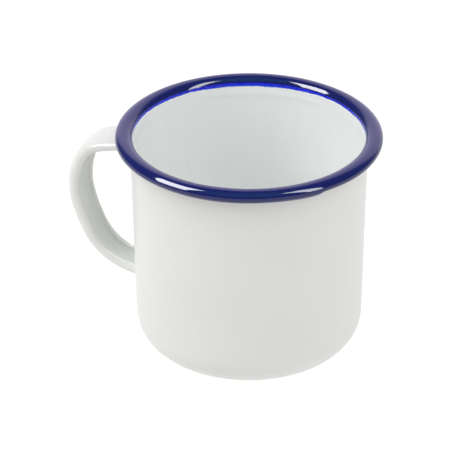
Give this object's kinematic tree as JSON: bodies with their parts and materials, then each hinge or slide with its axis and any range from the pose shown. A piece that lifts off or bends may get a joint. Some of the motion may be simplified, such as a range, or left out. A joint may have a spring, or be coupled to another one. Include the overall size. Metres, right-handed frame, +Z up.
{
  "type": "enamel mug",
  "caption": "White enamelled steel drinking mug with a straight tapered wall, a blue rolled rim and an ear-shaped handle of channel section.",
  "frame": {"origin": "centre of the flat base, on the plane that the mug stands on", "axes": "+Z up along the cup's axis; the handle points along -X; Y is across the handle"},
  "size_m": [0.1101, 0.0898, 0.0797],
  "materials": {
    "cup_steel": "bare pressed sheet, hidden under the enamel",
    "strip_steel": "bare pressed strip, hidden under the enamel",
    "weld_steel": "butt weld, hidden under the enamel",
    "outside_white": "satin white vitreous enamel with fine orange peel and a few dark specks",
    "inside_white": "smooth glossy white vitreous enamel, slightly cool",
    "rim_blue": "glossy dark cobalt blue vitreous enamel, thinner and brighter at its inner edge",
    "handle_white": "glossy white vitreous enamel"
  },
  "bodies": {
    "root": {"steel_cup": "cup_steel", "outer_enamel": "outside_white", "inner_enamel": "inside_white", "rim_enamel": "rim_blue", "handle_strip": "strip_steel", "handle_enamel": "handle_white", "upper_weld": "weld_steel", "lower_weld": "weld_steel"}
  },
  "joints": []
}
